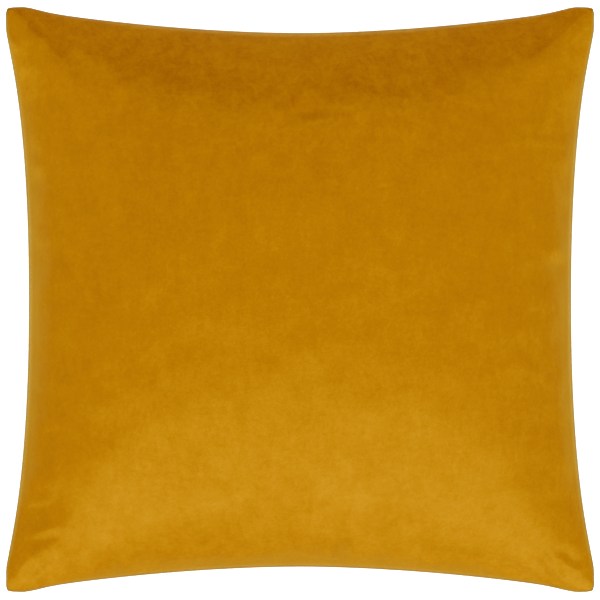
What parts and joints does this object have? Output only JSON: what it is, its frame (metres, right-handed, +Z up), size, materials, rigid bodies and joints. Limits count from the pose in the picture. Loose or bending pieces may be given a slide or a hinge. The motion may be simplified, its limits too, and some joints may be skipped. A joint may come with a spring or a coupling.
{
  "type": "throw pillow",
  "caption": "Square knife-edge throw pillow: zipped velvet cover with pulled-in sides and pointed corners over a stuffed inner pad.",
  "frame": {"origin": "middle of the flat patch that the pillow rests on, under the centre of its outline", "axes": "+Z up out of the front panel, +Y towards the edge opposite the zip, -Y towards the zip edge, +X towards the closed end of the zip"},
  "size_m": [0.4384, 0.4362, 0.134],
  "materials": {
    "velvet": "matte",
    "sewing_thread": "satin",
    "zip_tape": "matte",
    "zip_coil": "satin",
    "zip_metal": "gloss",
    "label_satin": "satin",
    "pad_casing": "matte",
    "pad_filling": "matte",
    "pad_thread": "satin"
  },
  "bodies": {
    "cushion": {"cover_front_panel": "velvet", "cover_back_panel": "velvet", "cover_seam_thread": "sewing_thread", "cover_overlock_thread": "sewing_thread", "zip_tape_front": "zip_tape", "zip_tape_back": "zip_tape", "zip_coil_front": "zip_coil", "zip_coil_back": "zip_coil", "zip_stitching_front": "sewing_thread", "zip_stitching_back": "sewing_thread", "zip_bar_tacks": "sewing_thread", "zip_top_stops": "zip_metal", "zip_bottom_stop": "zip_metal", "care_label": "label_satin", "pad_casing_front": "pad_casing", "pad_casing_back": "pad_casing", "pad_filling": "pad_filling", "pad_seam_thread": "pad_thread", "pad_closing_stitch": "pad_thread"},
    "zip_slider": {"zip_slider_body": "zip_metal"},
    "zip_pull": {"zip_pull_tab": "zip_metal"}
  },
  "joints": [
    {"name": "zip_slide", "type": "hinge", "parent": "cushion", "child": "zip_slider", "pos_m": [0, -1.419, 0.062], "axis": [0, 0, 1], "range_deg": [0, 16.5]},
    {"name": "pull_tab_pivot", "type": "hinge", "parent": "zip_slider", "child": "zip_pull", "pos_m": [0.18191, -0.20799, 0.062], "axis": [0, 0, 1], "range_deg": [0, 140]}
  ]
}
